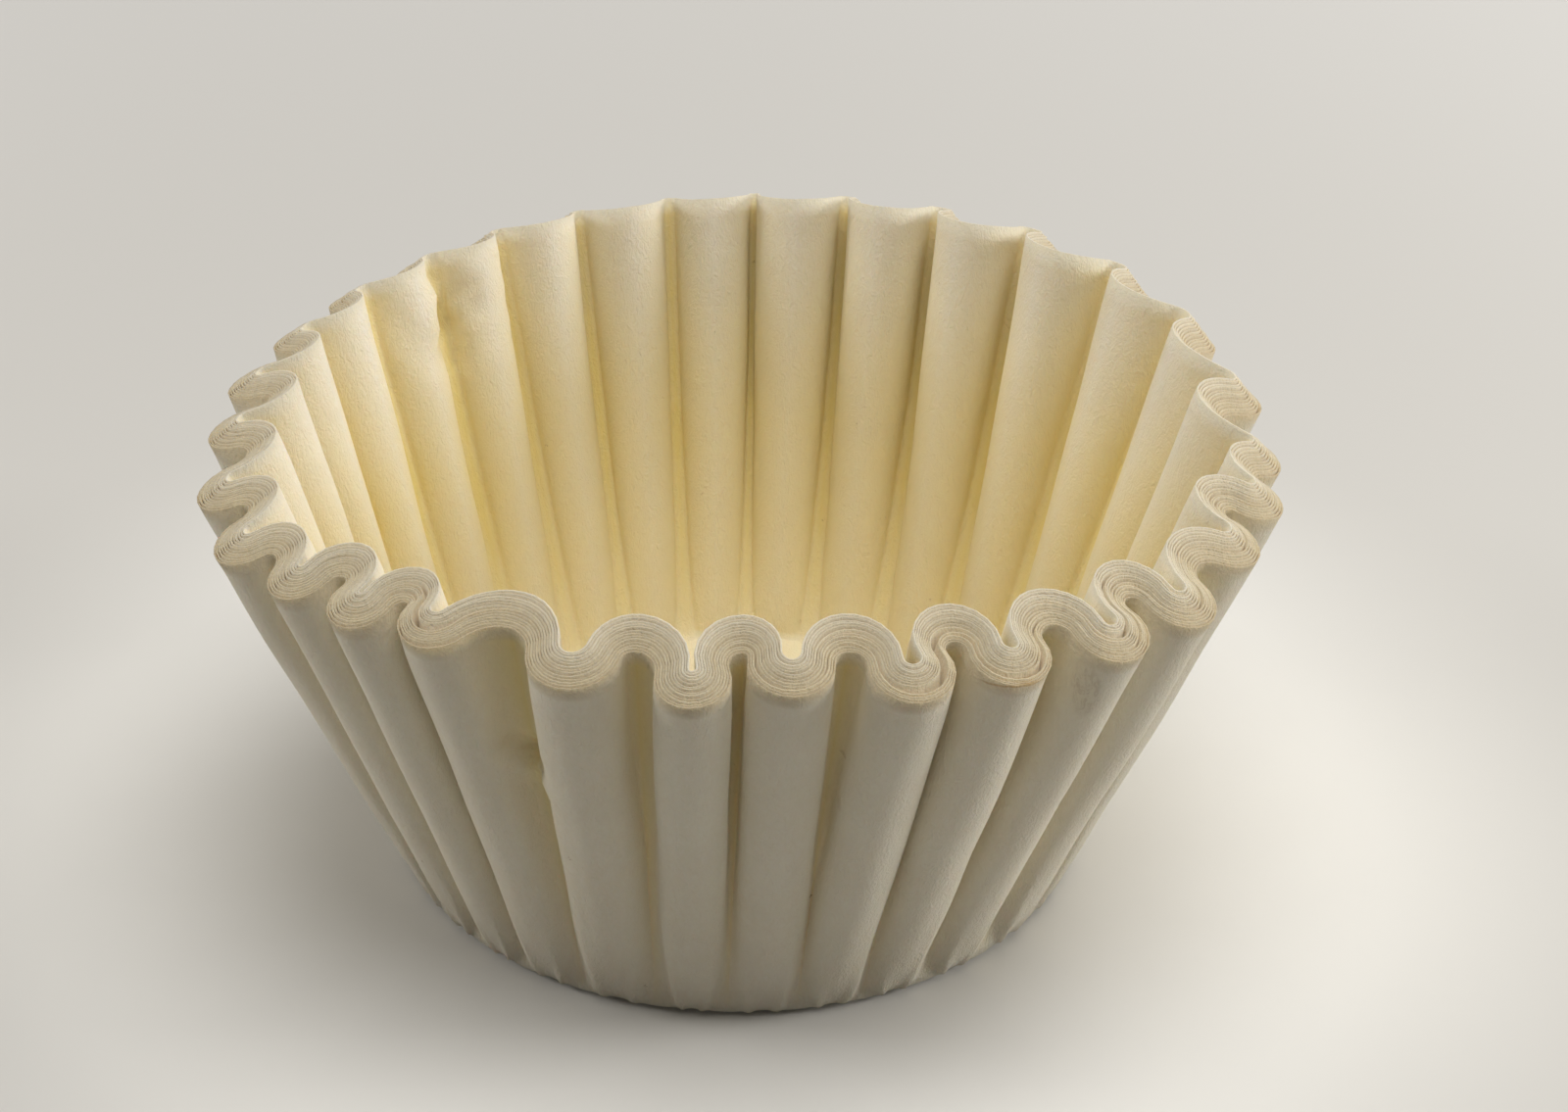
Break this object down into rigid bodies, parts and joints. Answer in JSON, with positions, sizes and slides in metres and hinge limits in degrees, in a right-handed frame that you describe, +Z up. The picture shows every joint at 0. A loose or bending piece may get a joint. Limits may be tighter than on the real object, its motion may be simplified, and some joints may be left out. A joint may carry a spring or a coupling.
{
  "type": "nested coffee filters",
  "caption": "Nest of fluted paper basket coffee filters, open at the top, with a flat floor and a wavy rim of stacked cut edges.",
  "frame": {"origin": "middle of the flat underside, on the surface that the nest stands on", "axes": "+Z up, out of the open mouth; -Y towards the side that the picture shows in front"},
  "size_m": [0.1231, 0.1258, 0.0616],
  "materials": {
    "filter_paper": "soft, uncoated, off-white"
  },
  "bodies": {
    "root": {"filter_nest": "filter_paper"}
  },
  "joints": []
}
